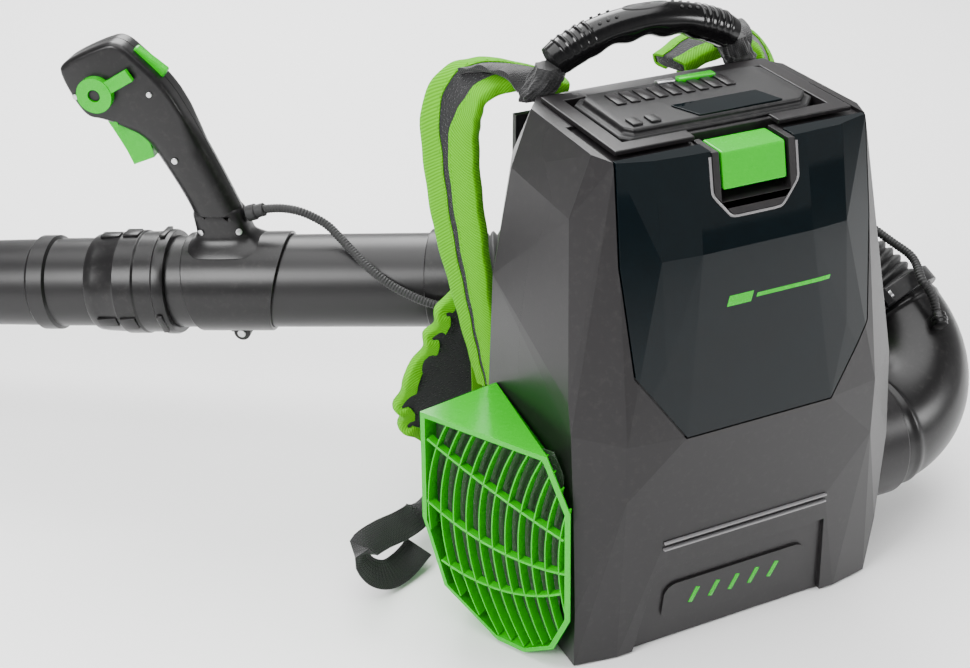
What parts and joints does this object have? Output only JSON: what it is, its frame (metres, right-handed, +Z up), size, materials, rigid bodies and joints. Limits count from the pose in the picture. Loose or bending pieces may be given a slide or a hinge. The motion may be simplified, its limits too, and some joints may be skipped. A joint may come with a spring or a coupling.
{
  "type": "backpack leaf blower",
  "caption": "Battery backpack leaf blower: faceted pack housing with side intake guard, harness, carry handle, elbow, flexible hose and a hand wand with trigger grip and blow tube.",
  "frame": {"origin": "centre of the pack's underside, between its feet, on the surface it stands on", "axes": "+Z up, +Y towards the wearer's back, +X towards the air outlet and elbow"},
  "size_m": [1.0577, 0.8055, 0.499],
  "materials": {
    "body_plastic": "satin moulded plastic",
    "dark_plastic": "fine moulded texture",
    "gloss_black": "mirror gloss",
    "bright_trim": "polished grey plastic",
    "green_plastic": "satin gloss",
    "tube_plastic": "satin blow-moulded plastic",
    "soft_rubber": "matte rubber",
    "steel": "zinc plated",
    "motor_alloy": "turned",
    "brass_contact": "plated",
    "board": "solder mask",
    "capacitor": "sleeve",
    "pad_mesh": "spacer mesh",
    "webbing": "woven webbing"
  },
  "bodies": {
    "root": {"front_cover": "body_plastic", "rear_cover": "body_plastic", "gloss_panel": "gloss_black", "top_bezel": "body_plastic", "button_bezel": "body_plastic", "battery_bay": "dark_plastic", "battery_connector": "dark_plastic", "base_tray": "dark_plastic", "rubber_feet": "soft_rubber", "badge_plate": "body_plastic", "step_trim": "bright_trim", "intake_guard": "green_plastic", "intake_louvres": "green_plastic", "fan_duct": "dark_plastic", "motor_mount": "dark_plastic", "motor_can": "motor_alloy", "motor_bearings": "steel", "outlet_flange": "body_plastic", "flange_seal": "soft_rubber", "controller_board": "board", "board_capacitors": "capacitor", "back_frame": "dark_plastic", "isolation_mounts": "soft_rubber", "back_pad": "pad_mesh", "shoulder_strap_left": "pad_mesh", "shoulder_strap_right": "pad_mesh", "strap_adjusters": "dark_plastic", "hip_belt_left": "pad_mesh", "hip_belt_right": "pad_mesh", "belt_tail": "webbing", "cover_screws": "steel", "button_spring": "steel"},
    "battery": {"battery_case": "dark_plastic", "battery_cap": "dark_plastic", "cap_label": "gloss_black", "battery_contacts": "brass_contact"},
    "release_button": {"release_button": "green_plastic"},
    "rotor": {"impeller": "dark_plastic", "rotor_shaft": "steel"},
    "elbow": {"elbow": "tube_plastic", "elbow_collar": "body_plastic", "hose_clamp": "dark_plastic", "clamp_screw": "steel", "hose": "soft_rubber"},
    "wand": {"hose_cuff": "tube_plastic", "handle_tube": "tube_plastic", "handle_saddle": "tube_plastic", "grip_shell_left": "tube_plastic", "grip_shell_right": "tube_plastic", "grip_screws": "steel", "switch_module": "dark_plastic", "cable_gland": "soft_rubber", "control_cable": "soft_rubber"},
    "trigger": {"trigger": "green_plastic"},
    "cruise_lever": {"cruise_lever": "green_plastic"},
    "turbo_button": {"turbo_button": "green_plastic"},
    "nozzle": {"lock_collar": "tube_plastic", "nozzle": "tube_plastic"},
    "carry_handle": {"carry_grip": "soft_rubber", "carry_webbing": "webbing"}
  },
  "joints": [
    {"name": "battery_slide", "type": "slide", "parent": "root", "child": "battery", "axis": [0, 0, 1], "range_m": [0, 0.2]},
    {"name": "release_press", "type": "slide", "parent": "root", "child": "release_button", "axis": [0, 1, 0], "range_m": [0, 0.005], "stiffness_N_per_m": 400, "deforming": ["button_spring"]},
    {"name": "rotor_spin", "type": "hinge", "parent": "root", "child": "rotor", "pos_m": [0, -0.03, 0.088], "axis": [1, 0, 0], "continuous": true},
    {"name": "elbow_swivel", "type": "hinge", "parent": "root", "child": "elbow", "pos_m": [0.19, -0.03, 0.088], "axis": [1, 0, 0], "range_deg": [-8, 2]},
    {"name": "hose_flex", "type": "hinge", "parent": "elbow", "child": "wand", "pos_m": [0.125, 0.18, 0.21], "axis": [0, 0, 1], "range_deg": [-60, 0], "deforming": ["hose", "control_cable"]},
    {"name": "trigger_pull", "type": "hinge", "parent": "wand", "child": "trigger", "pos_m": [-0.36488, 0.42124, 0.33688], "axis": [-0.5592, -0.829, 0], "range_deg": [0, 12], "stiffness_Nm_per_rad": 0.3},
    {"name": "cruise_set", "type": "hinge", "parent": "wand", "child": "cruise_lever", "pos_m": [-0.37627, 0.42893, 0.3678], "axis": [-0.5592, -0.829, 0], "range_deg": [-50, 0]},
    {"name": "turbo_press", "type": "slide", "parent": "wand", "child": "turbo_button", "axis": [-0.5081, 0.3427, -0.7902], "range_m": [0, 0.002], "stiffness_N_per_m": 300},
    {"name": "nozzle_twist", "type": "hinge", "parent": "wand", "child": "nozzle", "pos_m": [-0.35877, 0.41712, 0.16085], "axis": [-0.8259, 0.5571, -0.0872], "range_deg": [0, 30]},
    {"name": "carry_swing", "type": "hinge", "parent": "root", "child": "carry_handle", "pos_m": [0, 0.078, 0.435], "axis": [1, 0, 0], "range_deg": [-18, 10]}
  ]
}
